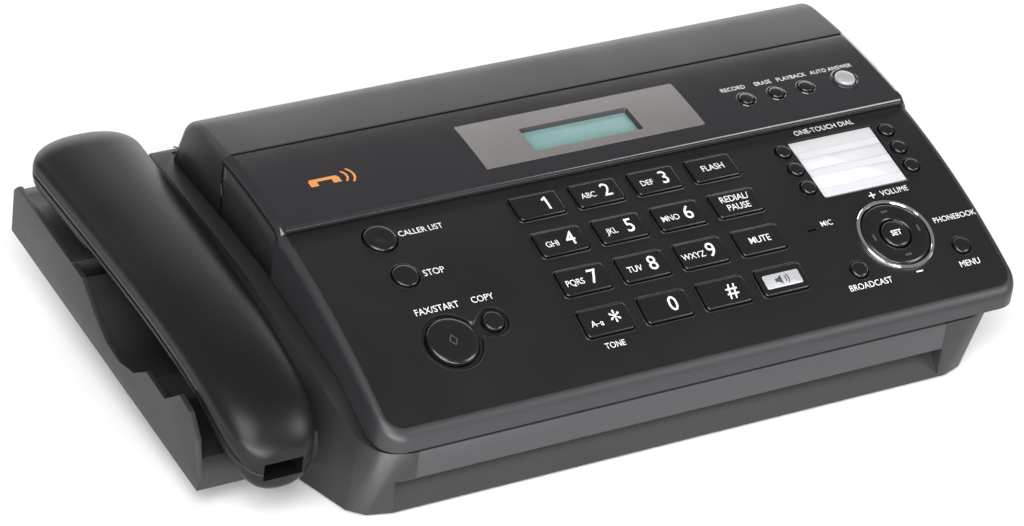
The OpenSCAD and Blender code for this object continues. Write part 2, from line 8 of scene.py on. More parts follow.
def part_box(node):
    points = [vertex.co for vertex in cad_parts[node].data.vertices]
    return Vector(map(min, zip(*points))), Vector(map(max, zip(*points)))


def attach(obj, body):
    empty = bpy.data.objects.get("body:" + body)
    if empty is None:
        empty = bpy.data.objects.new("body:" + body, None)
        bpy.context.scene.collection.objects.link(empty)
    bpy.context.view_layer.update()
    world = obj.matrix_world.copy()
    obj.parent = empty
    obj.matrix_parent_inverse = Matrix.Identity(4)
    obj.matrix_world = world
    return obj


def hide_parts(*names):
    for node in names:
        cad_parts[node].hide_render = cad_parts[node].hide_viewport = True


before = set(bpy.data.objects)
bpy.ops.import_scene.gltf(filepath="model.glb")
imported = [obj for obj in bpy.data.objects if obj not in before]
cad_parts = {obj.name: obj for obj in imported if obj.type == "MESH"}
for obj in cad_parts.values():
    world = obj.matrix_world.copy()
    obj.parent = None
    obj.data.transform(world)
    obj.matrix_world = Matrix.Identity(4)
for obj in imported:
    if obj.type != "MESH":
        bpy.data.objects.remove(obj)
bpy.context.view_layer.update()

MM = 0.001

# ---------------------------------------------------------------- the drawing's frame
# Sizes are in millimetres. x runs from the cover's left edge, y from the panel's front
# edge and z from the table; s is the distance up the curved panel and h the height above it.
COVER_LO, COVER_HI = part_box("control_panel")
COVER_W = (COVER_HI.x - COVER_LO.x) / MM
NOSE = 4.0
ORIGIN = Vector((COVER_LO.x, COVER_LO.y + NOSE * MM, 0.0))
WALL = 2.2
PANEL_R = 320.0
TILT = math.radians(27.6)
EDGE_Z = 36.8
STEP = 3.2
ARC_Y = PANEL_R * math.sin(TILT)
ARC_Z = EDGE_Z - PANEL_R * math.cos(TILT)
STEP_Y = 88.0
SEAM_Y = 135.5
CREST_Y = 157.5
CREST_R = 14.0
CREST_Z = 62.2
HOOD_REAR_Y = 177.5
PARTING = [(-5, 26.9), (11, 26.9), (34, 37), (98, 47.5), (172, 51), (201, 51)]
CORNER_R = 10.0
PARTING_GAP = 0.3
PLATE_SLICE = 2.5     # a plate is cut across this often, so that it can bend
SLICE_SHIFT = 0.013   # keeps those cuts off the outline points


def at(x, y, z):
    """A point of the drawing, in metres in the row frame."""
    return ORIGIN + Vector((x, y, z)) * MM


def on_arc(x, s, h):
    """A point at s up the curved panel and h above it."""
    a = TILT - s / PANEL_R
    return at(x, ARC_Y - (PANEL_R + h) * math.sin(a), ARC_Z + (PANEL_R + h) * math.cos(a))


def s_at(y, h=0.0):
    return (TILT - math.asin((ARC_Y - y) / (PANEL_R + h))) * PANEL_R


def arc_height(y, h=0.0):
    return ARC_Z + math.sqrt((PANEL_R + h) ** 2 - (ARC_Y - y) ** 2)


def parting_z(y):
    for (y0, z0), (y1, z1) in zip(PARTING, PARTING[1:]):
        if y <= y1:
            return z0 + (z1 - z0) * max(0.0, y - y0) / (y1 - y0)
    return PARTING[-1][1]


# ---------------------------------------------------------------- materials
def shader(name, base, rough, **sockets):
    mat = bpy.data.materials.new(name)
    mat.use_nodes = True
    bsdf = mat.node_tree.nodes["Principled BSDF"]
    bsdf.inputs["Base Color"].default_value = (*base, 1)
    bsdf.inputs["Roughness"].default_value = rough
    for key, value in sockets.items():
        bsdf.inputs[key.replace("_", " ")].default_value = value
    return mat, mat.node_tree, bsdf


def noise(tree, coords, scale, detail=3.0, rough=0.55):
    node = tree.nodes.new("ShaderNodeTexNoise")
    node.inputs["Scale"].default_value = scale
    node.inputs["Detail"].default_value = detail
    node.inputs["Roughness"].default_value = rough
    tree.links.new(coords, node.inputs["Vector"])
    return node


def spread(tree, value, low, high, start=0.35, end=0.65):
    node = tree.nodes.new("ShaderNodeMapRange")
    node.inputs["From Min"].default_value = start
    node.inputs["From Max"].default_value = end
    node.inputs["To Min"].default_value = low
    node.inputs["To Max"].default_value = high
    tree.links.new(value, node.inputs["Value"])
    return node.outputs["Result"]


def bumped(tree, bsdf, height, strength, distance):
    bump = tree.nodes.new("ShaderNodeBump")
    bump.inputs["Strength"].default_value = strength
    bump.inputs["Distance"].default_value = distance
    tree.links.new(height, bump.inputs["Height"])
    tree.links.new(bump.outputs["Normal"], bsdf.inputs["Normal"])
    return bump


def tinted(tree, bsdf, factor, dark, light):
    mix = tree.nodes.new("ShaderNodeMix")
    mix.data_type = "RGBA"
    mix.inputs["A"].default_value = (*dark, 1)
    mix.inputs["B"].default_value = (*light, 1)
    tree.links.new(factor, mix.inputs["Factor"])
    tree.links.new(mix.outputs["Result"], bsdf.inputs["Base Color"])


def object_coords(tree):
    return tree.nodes.new("ShaderNodeTexCoord").outputs["Object"]


def moulded(name, base, rough, grain_mm, strength, wear=0.15, **sockets):
    """Moulded plastic: a fine spark-eroded grain, broad roughness drift and slight colour drift."""
    mat, tree, bsdf = shader(name, base, rough, **sockets)
    coords = object_coords(tree)
    grain = noise(tree, coords, 1000.0 / grain_mm, 2.0, 0.6)
    drift = noise(tree, coords, 22.0, 4.0)
    smear = noise(tree, coords, 140.0, 5.0, 0.7)
    bumped(tree, bsdf, grain.outputs["Fac"], strength, 0.00006)
    mixed = tree.nodes.new("ShaderNodeMath")
    mixed.operation = "MULTIPLY_ADD"
    mixed.inputs[1].default_value = 0.6
    tree.links.new(smear.outputs["Fac"], mixed.inputs[0])
    tree.links.new(spread(tree, drift.outputs["Fac"], 0.0, 0.4), mixed.inputs[2])
    tree.links.new(spread(tree, mixed.outputs["Value"], rough - wear * 0.5, rough + wear * 0.5, 0.1, 0.8),
                   bsdf.inputs["Roughness"])
    dark = [c * 0.86 for c in base]
    light = [c * 1.16 for c in base]
    tinted(tree, bsdf, drift.outputs["Fac"], dark, light)
    return mat


def metal(name, base, rough, grain=(30.0, 900.0, 900.0), strength=0.15):
    mat, tree, bsdf = shader(name, base, rough, Metallic=1.0)
    mapping = tree.nodes.new("ShaderNodeMapping")
    mapping.inputs["Scale"].default_value = grain
    tree.links.new(object_coords(tree), mapping.inputs["Vector"])
    lines = noise(tree, mapping.outputs["Vector"], 1.0, 3.0, 0.6)
    bumped(tree, bsdf, lines.outputs["Fac"], strength, 0.00003)
    tree.links.new(spread(tree, lines.outputs["Fac"], rough * 0.75, rough * 1.3), bsdf.inputs["Roughness"])
    return mat


def striped(name, base, line, pitch_mm, width, rough, axis="y"):
    """Bands across one axis, such as the ruled lines of a card or the turns of a coil."""
    mat, tree, bsdf = shader(name, base, rough)
    coords = object_coords(tree)
    split = tree.nodes.new("ShaderNodeSeparateXYZ")
    tree.links.new(coords, split.inputs["Vector"])
    wave = tree.nodes.new("ShaderNodeMath")
    wave.operation = "PINGPONG"
    wave.inputs[1].default_value = pitch_mm * MM / 2
    tree.links.new(split.outputs[axis.upper()], wave.inputs[0])
    edge = pitch_mm * MM / 2 * width
    mask = spread(tree, wave.outputs["Value"], 0.0, 1.0, edge * 0.92, edge * 1.08)
    tinted(tree, bsdf, mask, line, base)
    fibre = noise(tree, coords, 900.0, 4.0, 0.7)
    bumped(tree, bsdf, fibre.outputs["Fac"], 0.12, 0.00003)
    return mat


MATERIALS = {
    "case_black": moulded("case_black", (0.0165, 0.0155, 0.0168), 0.44, 0.6, 0.35, 0.1),
    # the skirt's colour is the case's black painted lighter: painted light for the lamp light that falls on its
    # front-facing sides
    "skirt_black_painted_light": moulded("skirt_black_painted_light", (0.022, 0.0206, 0.0228), 0.42, 0.5, 0.3, 0.1),
    # the fascia's colour is the case's black painted lighter: painted light on its front face
    "fascia_black_painted_light": moulded("fascia_black_painted_light", (0.036, 0.034, 0.0375), 0.44, 0.6, 0.35, 0.1),
    # the keypad panel's colour is the case's black painted darker: painted shade for its up-facing top, where
    # little light falls
    "panel_black": moulded("panel_black", (0.0062, 0.0058, 0.0066), 0.36, 0.45, 0.25, 0.08),
    # glossy black plastic with its colour raised: a painted reflection of the surroundings on the glossy panel
    "gloss_black": moulded("gloss_black", (0.016, 0.0146, 0.0168), 0.14, 3.0, 0.03, 0.05, Coat_Weight=0.6,
                           Coat_Roughness=0.05),
    "key_black": moulded("key_black", (0.006, 0.0057, 0.0062), 0.2, 1.2, 0.06, 0.08, Coat_Weight=0.3,
                         Coat_Roughness=0.1),
    "handset_black": moulded("handset_black", (0.006, 0.0056, 0.0063), 0.36, 0.4, 0.2, 0.08,
                             Specular_IOR_Level=0.28),
    "rubber_black": moulded("rubber_black", (0.02, 0.02, 0.02), 0.75, 0.5, 0.5, 0.1),
    "roller_rubber": moulded("roller_rubber", (0.06, 0.06, 0.06), 0.6, 0.4, 0.5, 0.1),
    # dark socket plastic; on the display bezel's inner lip the same dark colour is painted shade of the
    # display's recess
    "socket_plastic": moulded("socket_plastic", (0.03, 0.03, 0.03), 0.5, 0.8, 0.3, 0.1),
    "nylon": moulded("nylon", (0.78, 0.76, 0.7), 0.45, 0.8, 0.2, 0.1),
    "clear_grey": moulded("clear_grey", (0.30, 0.30, 0.31), 0.28, 1.0, 0.1, 0.06, Coat_Weight=0.4),
    "silver_plastic": moulded("silver_plastic", (0.235, 0.22, 0.218), 0.38, 0.35, 0.3, 0.08, Metallic=0.55),
    "badge_silver": moulded("badge_silver", (0.52, 0.53, 0.55), 0.35, 0.5, 0.2, 0.08, Metallic=0.3),
    "chrome_ring": metal("chrome_ring", (0.86, 0.87, 0.88), 0.09, (400.0, 400.0, 400.0), 0.03),
    "steel": metal("steel", (0.56, 0.56, 0.58), 0.35),
    "ceramic": metal("ceramic", (0.62, 0.6, 0.55), 0.45),
    "paper": striped("paper", (0.86, 0.85, 0.81), (0.74, 0.73, 0.69), 0.8, 0.2, 0.7, "x"),
    "card_white": moulded("card_white", (0.66, 0.66, 0.68), 0.5, 0.9, 0.15, 0.1),
    "board": moulded("board", (0.02, 0.14, 0.06), 0.4, 1.0, 0.2, 0.1),
    "display": moulded("display", (0.20, 0.34, 0.33), 0.22, 2.0, 0.02, 0.05),
    "legend": moulded("legend", (0.72, 0.72, 0.72), 0.5, 0.7, 0.2, 0.1),
    "legend_dark": moulded("legend_dark", (0.05, 0.05, 0.055), 0.5, 0.7, 0.2, 0.1),
    "accent": moulded("accent", (0.62, 0.24, 0.05), 0.4, 0.7, 0.2, 0.1),
    "card_line": moulded("card_line", (0.57, 0.57, 0.60), 0.5, 0.9, 0.15, 0.1),
}


# ---------------------------------------------------------------- mesh helpers
SHARP = 35.0          # degrees between faces that shade as a hard edge
ALONG_ARC = 0.995     # cosine above which a face counts as following the arc


def piece(name, verts, faces, mat, body, replaces=(), sharp=32.0):
    mesh = bpy.data.meshes.new(name)
    mesh.from_pydata([tuple(v) for v in verts], [], [tuple(f) for f in faces])
    mesh.validate()
    bm = bmesh.new()
    bm.from_mesh(mesh)
    bmesh.ops.remove_doubles(bm, verts=bm.verts, dist=1e-7)
    bmesh.ops.recalc_face_normals(bm, faces=bm.faces)
    bm.to_mesh(mesh)
    bm.free()
    mesh.polygons.foreach_set("use_smooth", [True] * len(mesh.polygons))
    mesh.set_sharp_from_angle(angle=math.radians(sharp))
    obj = bpy.data.objects.new(name, mesh)
    bpy.context.scene.collection.objects.link(obj)
    return dress(obj, mat, body, replaces)


def dress(obj, mat, body, replaces=()):
    obj.data.materials.clear()
    obj.data.materials.append(MATERIALS[mat])
    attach(obj, body)
    if replaces:
        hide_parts(*replaces)
    return obj


def rounded(cx, cs, w, h, r, steps=6):
    """Outline function of a rounded rectangle: outline(inset) gives its points, pulled in by inset."""
    def outline(inset):
        rr = max(r - inset, 0.25)
        hw, hh = w / 2 - inset - rr, h / 2 - inset - rr
        corners = [(hw, hh, 0), (-hw, hh, 90), (-hw, -hh, 180), (hw, -hh, 270)]
        return [(cx + x + rr * math.cos(math.radians(a + 90 * k / steps)),
                 cs + y + rr * math.sin(math.radians(a + 90 * k / steps)))
                for x, y, a in corners for k in range(steps + 1)]
    return outline


def round_outline(cx, cs, r, steps=48):
    def outline(inset):
        return [(cx + (r - inset) * math.cos(2 * math.pi * k / steps),
                 cs + (r - inset) * math.sin(2 * math.pi * k / steps)) for k in range(steps)]
    return outline


def blended(a, ra, b, rb, soft):
    """Outline of two discs joined by a soft neck, found along rays from a point between them."""
    steps, halvings, reach = 72, 30, 40.0
    mid = ((a[0] + b[0]) / 2, (a[1] + b[1]) / 2)

    def outside(x, s):
        da = math.hypot(x - a[0], s - a[1]) - ra
        db = math.hypot(x - b[0], s - b[1]) - rb
        t = max(soft - abs(da - db), 0) / soft
        return min(da, db) - t * t * soft / 4

    def outline(inset):
        points = []
        for k in range(steps):
            c, d = math.cos(2 * math.pi * k / steps), math.sin(2 * math.pi * k / steps)
            low, high = 0.0, reach
            for _ in range(halvings):
                r = (low + high) / 2
                if outside(mid[0] + r * c, mid[1] + r * d) < -inset:
                    low = r
                else:
                    high = r
            points.append((mid[0] + low * c, mid[1] + low * d))
        return points
    return outline


def rings(outline, profile, closed=False, cap=True, place=on_arc):
    """Rings of an outline at each (inset, height) of a profile, joined by quads."""
    verts, faces = [], []
    loops = [outline(i) for i, _ in profile]
    n = len(loops[0])
    for loop, (_, h) in zip(loops, profile):
        verts += [place(x, s, h) for x, s in loop]
    count = len(profile)
    for k in range(count if closed else count - 1):
        a, b = k * n, ((k + 1) % count) * n
        faces += [(a + i, a + (i + 1) % n, b + (i + 1) % n, b + i) for i in range(n)]
    if cap and not closed:
        faces.append(tuple(range((count - 1) * n, count * n)))
        faces.append(tuple(reversed(range(n))))
    return verts, faces


def ring_piece(name, outline, profile, mat, body, replaces=(), **how):
    place = how.pop("place", on_arc)
    closed = how.pop("closed", False)
    verts, faces = rings(outline, profile, closed, not closed, place)
    return piece(name, verts, faces, mat, body, replaces, **how)


def plate(name, outline, holes, h_top, h_low, mat, body, replaces=(), edge=0.25):
    """A plate with holes on the curved panel, its upper edges rounded by edge."""
    bm = bmesh.new()
    loops = [outline] + holes
    for loop in loops:
        vs = [bm.verts.new((x, s, h_top)) for x, s in loop]
        for i in range(len(vs)):
            bm.edges.new((vs[i], vs[(i + 1) % len(vs)]))
    bmesh.ops.triangle_fill(bm, use_beauty=True, use_dissolve=False, edges=bm.edges[:])
    bmesh.ops.recalc_face_normals(bm, faces=bm.faces)
    if sum(f.normal.z for f in bm.faces) < 0:
        bmesh.ops.reverse_faces(bm, faces=bm.faces)
    top = bm.faces[:]
    grown = bmesh.ops.extrude_face_region(bm, geom=top)
    moved = [v for v in grown["geom"] if isinstance(v, bmesh.types.BMVert)]
    bmesh.ops.translate(bm, verts=moved, vec=(0, 0, h_low - h_top))
    bmesh.ops.recalc_face_normals(bm, faces=bm.faces)
    if edge > 0:
        rims = [e for e in bm.edges if len(e.link_faces) == 2 and e.calc_face_angle(0) > 1.0
                and all(abs(v.co.z - h_top) < 1e-6 for v in e.verts)]
        bmesh.ops.bevel(bm, geom=rims, offset=edge, offset_type="OFFSET", segments=3, profile=0.5,
                        affect="EDGES", clamp_overlap=True)
    ss = [v.co.y for v in bm.verts]
    s = math.ceil(min(ss) / PLATE_SLICE) * PLATE_SLICE + SLICE_SHIFT
    while s < max(ss):
        bmesh.ops.bisect_plane(bm, geom=bm.verts[:] + bm.edges[:] + bm.faces[:], dist=1e-6,
                               plane_co=(0, s, 0), plane_no=(0, 1, 0))
        s += PLATE_SLICE
    for v in bm.verts:
        v.co = on_arc(v.co.x, v.co.y, v.co.z)
    mesh = bpy.data.meshes.new(name)
    bm.to_mesh(mesh)
    bm.free()
    mesh.polygons.foreach_set("use_smooth", [True] * len(mesh.polygons))
    mesh.set_sharp_from_angle(angle=math.radians(SHARP))
    true_normals(mesh)
    obj = bpy.data.objects.new(name, mesh)
    bpy.context.scene.collection.objects.link(obj)
    return dress(obj, mat, body, replaces)


def true_normals(mesh):
    """Gives faces that follow the panel's arc the arc's own normals, so long triangles don't show."""
    centre = at(0, ARC_Y, ARC_Z)
    normals = []
    for face in mesh.polygons:
        out = Vector((0, face.center.y - centre.y, face.center.z - centre.z)).normalized()
        along = abs(face.normal.dot(out)) > ALONG_ARC
        side = 1 if face.normal.dot(out) > 0 else -1
        for i in face.vertices:
            co = mesh.vertices[i].co
            radial = Vector((0, co.y - centre.y, co.z - centre.z)).normalized() * side
            normals.append(tuple(radial) if along else (0, 0, 0))
    mesh.normals_split_custom_set(normals)


def softened(name, node, mat, body, width, segments=2):
    """A CAD node's own shape with its edges rounded: faces are merged where flat, then bevelled."""
    flat, corner = math.radians(0.6), math.radians(28)
    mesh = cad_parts[node].data.copy()
    mesh.name = name
    bm = bmesh.new()
    bm.from_mesh(mesh)
    bmesh.ops.remove_doubles(bm, verts=bm.verts, dist=2e-6)
    bmesh.ops.dissolve_limit(bm, angle_limit=flat, verts=bm.verts[:], edges=bm.edges[:])
    edges = [e for e in bm.edges if len(e.link_faces) == 2 and e.calc_face_angle(0) > corner]
    bmesh.ops.bevel(bm, geom=edges, offset=width * MM, offset_type="OFFSET", segments=segments, profile=0.5,
                    affect="EDGES", clamp_overlap=True)
    bmesh.ops.triangulate(bm, faces=[f for f in bm.faces if len(f.verts) > 4])
    bm.to_mesh(mesh)
    bm.free()
    mesh.polygons.foreach_set("use_smooth", [True] * len(mesh.polygons))
    mesh.set_sharp_from_angle(angle=math.radians(SHARP))
    obj = bpy.data.objects.new(name, mesh)
    bpy.context.scene.collection.objects.link(obj)
    return dress(obj, mat, body, (node,))


def text_mesh(words, size, bold=0.0, spacing=1.0, squeeze=0.9):
    curve = bpy.data.curves.new("words", "FONT")
    curve.body = words
    curve.size = size
    curve.offset = bold
    curve.space_character = spacing
    curve.align_x = "CENTER"
    curve.align_y = "CENTER"
    curve.resolution_u = 3
    holder = bpy.data.objects.new("words", curve)
    bpy.context.scene.collection.objects.link(holder)
    bpy.context.view_layer.update()
    mesh = bpy.data.meshes.new_from_object(holder.evaluated_get(bpy.context.evaluated_depsgraph_get()))
    bpy.data.objects.remove(holder)
    for v in mesh.vertices:
        v.co.x *= squeeze
    return mesh


INK = 0.03            # thickness of a printed mark, and its height above the panel


def printed(name, marks, mat, body):
    """Printed marks on the curved panel: each is (mesh or outline, x, s, h)."""
    verts, faces = [], []
    for shape, x, s, h in marks:
        start = len(verts)
        if isinstance(shape, bpy.types.Mesh):
            verts += [on_arc(x + v.co.x, s + v.co.y, h) for v in shape.vertices]
            faces += [tuple(start + i for i in p.vertices) for p in shape.polygons]
        else:
            verts += [on_arc(x + px, s + ps, h) for px, ps in shape]
            faces.append(tuple(range(start, start + len(shape))))
    mesh = bpy.data.meshes.new(name)
    mesh.from_pydata([tuple(v) for v in verts], [], faces)
    mesh.validate()
    obj = bpy.data.objects.new(name, mesh)
    bpy.context.scene.collection.objects.link(obj)
    thick = obj.modifiers.new("thick", "SOLIDIFY")
    thick.thickness = INK * MM
    thick.offset = 0.0
    bpy.context.view_layer.update()
    solid = bpy.data.meshes.new_from_object(obj.evaluated_get(bpy.context.evaluated_depsgraph_get()))
    obj.modifiers.clear()
    obj.data = solid
    return dress(obj, mat, body)


def bar(w, h, turn=0.0):
    c, d = math.cos(math.radians(turn)), math.sin(math.radians(turn))
    return [(x * c - y * d, x * d + y * c)
            for x, y in ((-w / 2, -h / 2), (w / 2, -h / 2), (w / 2, h / 2), (-w / 2, h / 2))]


def sector(r, width, half_angle, step, flat=1.0):
    """A thin arc about the x axis, width wide inside radius r, its height scaled by flat."""
    def edge(radius, angles):
        return [(radius * math.cos(math.radians(a)), radius * flat * math.sin(math.radians(a))) for a in angles]

    return (edge(r, range(-half_angle, half_angle + 1, step))
            + edge(r - width, range(half_angle, -half_angle - 1, -step)))


# ---------------------------------------------------------------- camera, floor and light
def camera():
    data = bpy.data.cameras.new("camera")
    cam = bpy.data.objects.new("camera", data)
    bpy.context.scene.collection.objects.link(cam)
    data.sensor_width = 36.0
    data.lens = 146.4
    right = Vector((0.85928, -0.49899, 0.11248))
    down = Vector((-0.19006, -0.51563, -0.83546))
    ahead = right.cross(down)
    turn = Matrix((right, -down, -ahead)).transposed().to_4x4()
    cam.matrix_world = Matrix.Translation(Vector((-0.78415, -1.1472, 0.9117))) @ turn
    data.clip_end = 50.0
    bpy.context.scene.camera = cam


def area(name, place, target, size, power):
    data = bpy.data.lights.new(name, "AREA")
    data.shape = "RECTANGLE"
    data.size, data.size_y = size
    data.energy = power
    lamp = bpy.data.objects.new(name, data)
    lamp.location = place
    lamp.rotation_euler = (Vector(target) - Vector(place)).to_track_quat("-Z", "Y").to_euler()
    bpy.context.scene.collection.objects.link(lamp)


def studio():
    scene = bpy.context.scene
    scene.view_settings.view_transform = "Standard"
    world = bpy.data.worlds.new("world")
    world.use_nodes = True
    back = world.node_tree.nodes["Background"]
    back.inputs["Color"].default_value = (1, 1, 1, 1)
    back.inputs["Strength"].default_value = 0.24
    scene.world = world
    mesh = bpy.data.meshes.new("floor")
    mesh.from_pydata([(-6, -6, 0), (6, -6, 0), (6, 6, 0), (-6, 6, 0)], [], [(0, 1, 2, 3)])
    floor = bpy.data.objects.new("floor", mesh)
    scene.collection.objects.link(floor)
    mat, tree, bsdf = shader("floor", (0.93, 0.93, 0.93), 0.75)
    mottle = noise(tree, object_coords(tree), 6.0)
    tinted(tree, bsdf, mottle.outputs["Fac"], (0.92, 0.92, 0.92), (0.94, 0.94, 0.94))
    mesh.materials.append(mat)
    area("backdrop", (0.45, 1.55, 0.56), (0.1, 0, 0.12), (3.4, 1.1), 28)
    area("overhead", (-1.15, -1.25, 1.9), (0, 0, 0), (1.7, 1.7), 54)
    area("right", (1.25, -1.05, 1.05), (0, 0, 0.06), (0.7, 0.7), 12)
    area("low_front", (-0.95, -1.9, 0.42), (0, 0, 0.03), (2.6, 0.7), 72)


camera()
studio()

# ---------------------------------------------------------------- layout of the controls
KEY_W, KEY_H = 20.6, 11.8
PITCH_X, PITCH_S = 26.9, 19.5
KEY_X0, KEY_S0 = 107.1, 81.7
KEY_GAP = 0.4
ROUND_GAP = 0.65
KEYS = [("key_1", "1", ""), ("key_2", "2", "ABC"), ("key_3", "3", "DEF"), ("key_flash", "", "FLASH"),
        ("key_4", "4", "GHI"), ("key_5", "5", "JKL"), ("key_6", "6", "MNO"),
        ("key_redial", "", "REDIAL/\nPAUSE"),
        ("key_7", "7", "PQRS"), ("key_8", "8", "TUV"), ("key_9", "9", "WXYZ"), ("key_mute", "", "MUTE"),
        ("key_star", "*", "A–a"), ("key_0", "0", ""), ("key_hash", "#", ""), ("key_speaker", "", "")]
ROUND = {  # x, s, radius, top height
    "one_touch_1": (222.4, 82.5, 3.2, 1.2), "one_touch_2": (222.4, 72.3, 3.2, 1.2),
    "one_touch_3": (222.4, 62.1, 3.2, 1.2), "one_touch_4": (272.7, 82.5, 3.2, 1.2),
    "one_touch_5": (272.7, 72.3, 3.2, 1.2), "one_touch_6": (272.7, 62.1, 3.2, 1.2),
    "caller_id_button": (37.9, 82.4, 6.6, 1.4), "stop_button": (38.9, 62.4, 5.2, 1.0),
    "start_button": (43.1, 29.3, 10.3, 1.6), "copy_button": (63.0, 34.0, 4.2, 1.0),
    "menu_button": (272.6, 20.2, 3.6, 1.2), "broadcast_button": (222.9, 19.9, 3.6, 1.2)}
TOP_S = s_at(106.0, STEP)
TOP = {"record_button": (221.9, 3.2, 1.2), "erase_button": (236.4, 3.2, 1.2),
       "playback_button": (250.8, 3.2, 1.2), "auto_answer_button": (270.1, 4.4, 1.8)}
NAV_X, NAV_S, NAV_RING_R, NAV_DISC_R, SET_R = 246.8, 31.7, 16.7, 14.6, 6.2
CARD_X, CARD_S, CARD_W, CARD_H = 247.0, 71.3, 40.5, 31.0
BEZEL = (95.5, 196.5, s_at(97.0, STEP), s_at(124.3, STEP))
LCD = (120.0, 170.0, s_at(101.3, STEP), s_at(115.6, STEP))
EDGE_R = 3.2


# ---------------------------------------------------------------- keypad panel
def start_recess():
    return blended(ROUND["start_button"][:2], 12.4, ROUND["copy_button"][:2], 6.4, 6.0)


def panel_top():
    inner = EDGE_R
    corner = CORNER_R - inner
    front_s = s_at(-NOSE + inner)
    back_s = s_at(STEP_Y + 3.0)
    left, right = inner, COVER_W - inner
    outline = [(right, back_s), (left, back_s)]
    for cx, start in ((left + corner, 180), (right - corner, 270)):
        for k in range(9):
            a = math.radians(start + 90 * k / 8)
            outline.append((cx + corner * math.cos(a), front_s + corner + corner * math.sin(a)))
    holes = []
    for i, (name, _, _) in enumerate(KEYS):
        x, s = key_place(i)
        holes.append(rounded(x, s, KEY_W + 2 * KEY_GAP, KEY_H + 2 * KEY_GAP, 1.8)(0))
    for name, (x, s, r, _) in ROUND.items():
        if name not in ("start_button", "copy_button"):
            holes.append(round_outline(x, s, r + ROUND_GAP, 40)(0))
    holes.append(start_recess()(0))
    holes.append(round_outline(NAV_X, NAV_S, NAV_RING_R - 0.4, 64)(0))
    holes.append(rounded(CARD_X, CARD_S, CARD_W, CARD_H, 0.8)(0))
    holes.append(rounded(212.7, 42.2, 4.2, 1.1, 0.5)(0))
    # the panel face, its rims and recess use the case's black painted darker, as painted shade
    plate("panel_face", outline, holes, 0.0, -WALL, "panel_black", "cover", ("control_panel",), edge=0.3)


def key_place(i):
    return KEY_X0 + PITCH_X * (i % 4), KEY_S0 - PITCH_S * (i // 4)


def skirt_path():
    """Plan outline of the cover from the left rear, round the front, to the right rear."""
    r = CORNER_R
    path = [((0.0, y), (-1.0, 0.0)) for y in (91.0, 80, 70, 60, 50, 42, 34, 28, 22, 16, 11)]
    for k in range(13):
        a = math.radians(180 + 90 * k / 12)
        path.append(((r + r * math.cos(a), -NOSE + r + r * math.sin(a)), (math.cos(a), math.sin(a))))
    path += [((x, -NOSE), (0.0, -1.0)) for x in range(20, int(COVER_W) - 15, 10)]
    for k in range(13):
        a = math.radians(270 + 90 * k / 12)
        spot = (COVER_W - r + r * math.cos(a), -NOSE + r + r * math.sin(a))
        path.append((spot, (math.cos(a), math.sin(a))))
    path += [((COVER_W, y), (1.0, 0.0)) for y in (11, 16, 22, 28, 34, 42, 50, 60, 70, 80, 91.0)]
    return path


def panel_skirt():
    path = skirt_path()
    columns = []
    for (px, py), (nx, ny) in path:
        column = []
        r = EDGE_R

        def spot(inset, z=None, drop=0.0):
            x, y = px - nx * inset, py - ny * inset
            return at(x, y, arc_height(y) - drop if z is None else z)

        column.append(spot(r + 0.5, drop=0.04))
        for k in range(9):
            inset = r * (1 - math.sin(math.radians(90 * k / 8)))
            column.append(spot(inset, drop=r - math.sqrt(max(r * r - (r - inset) ** 2, 0))))
        low = parting_z(py) + PARTING_GAP
        high = arc_height(py) - r
        column.append(at(px, py, high + (low - high) * 0.5))
        column.append(at(px, py, low + 0.35))
        column.append(at(px - nx * 0.35, py - ny * 0.35, low))
        column.append(at(px - nx * WALL, py - ny * WALL, low))
        column.append(spot(WALL, drop=WALL + 1.0))
        columns.append(column)
    # the skirt is drawn in the case's black painted lighter, as painted light on its sides
    grid_piece("panel_skirt", columns, "skirt_black_painted_light", "cover")


def grid_piece(name, columns, mat, body, replaces=()):
    n = len(columns[0])
    verts = [p for column in columns for p in column]
    faces = [(i * n + j, (i + 1) * n + j, (i + 1) * n + j + 1, i * n + j + 1)
             for i in range(len(columns) - 1) for j in range(n - 1)]
    return piece(name, verts, faces, mat, body, replaces)


def rim(name, outline, width, height):
    """A low rounded bead round an opening of the keypad panel."""
    base, foot = -0.2, -1.6
    profile = [(-width, base), (-width * 0.85, height * 0.55), (-width * 0.5, height),
               (-width * 0.15, height * 0.6), (0.0, 0.0), (0.0, foot), (-0.3, foot), (-0.3, base)]
    return ring_piece(name, outline, profile, "panel_black", "cover", closed=True)


def key_wells():
    for i, (name, _, _) in enumerate(KEYS):
        x, s = key_place(i)
        rim("rim_" + name, rounded(x, s, KEY_W + 2 * KEY_GAP, KEY_H + 2 * KEY_GAP, 1.8), 0.8, 0.42)


KEY_PROFILE = [(-0.9, -3.7), (-0.9, -2.5), (0.0, -2.5), (0.0, 0.62), (0.06, 0.82), (0.2, 0.98),
               (0.42, 1.08), (0.8, 1.14), (1.5, 1.12), (2.6, 1.05), (4.2, 1.0)]


ONE = [(-1.5, 2.0), (0.1, 3.3), (0.9, 3.3), (0.9, -3.3), (-0.1, -3.3), (-0.1, 2.1), (-1.0, 1.3)]


def keys():
    for i, (name, digit, letters) in enumerate(KEYS):
        x, s = key_place(i)
        ring_piece("cap_" + name, rounded(x, s, KEY_W, KEY_H, 1.4), KEY_PROFILE, "key_black", name, (name,),
                   sharp=50)
        if name == "key_speaker":
            ring_piece("badge_speaker", rounded(x, s - 0.2, KEY_W - 4.0, KEY_H - 5.6, 0.7),
                       [(0, 0.9), (0, 1.2), (0.15, 1.28)], "badge_silver", name)
        legend_of_key(name, digit, letters, x, s)


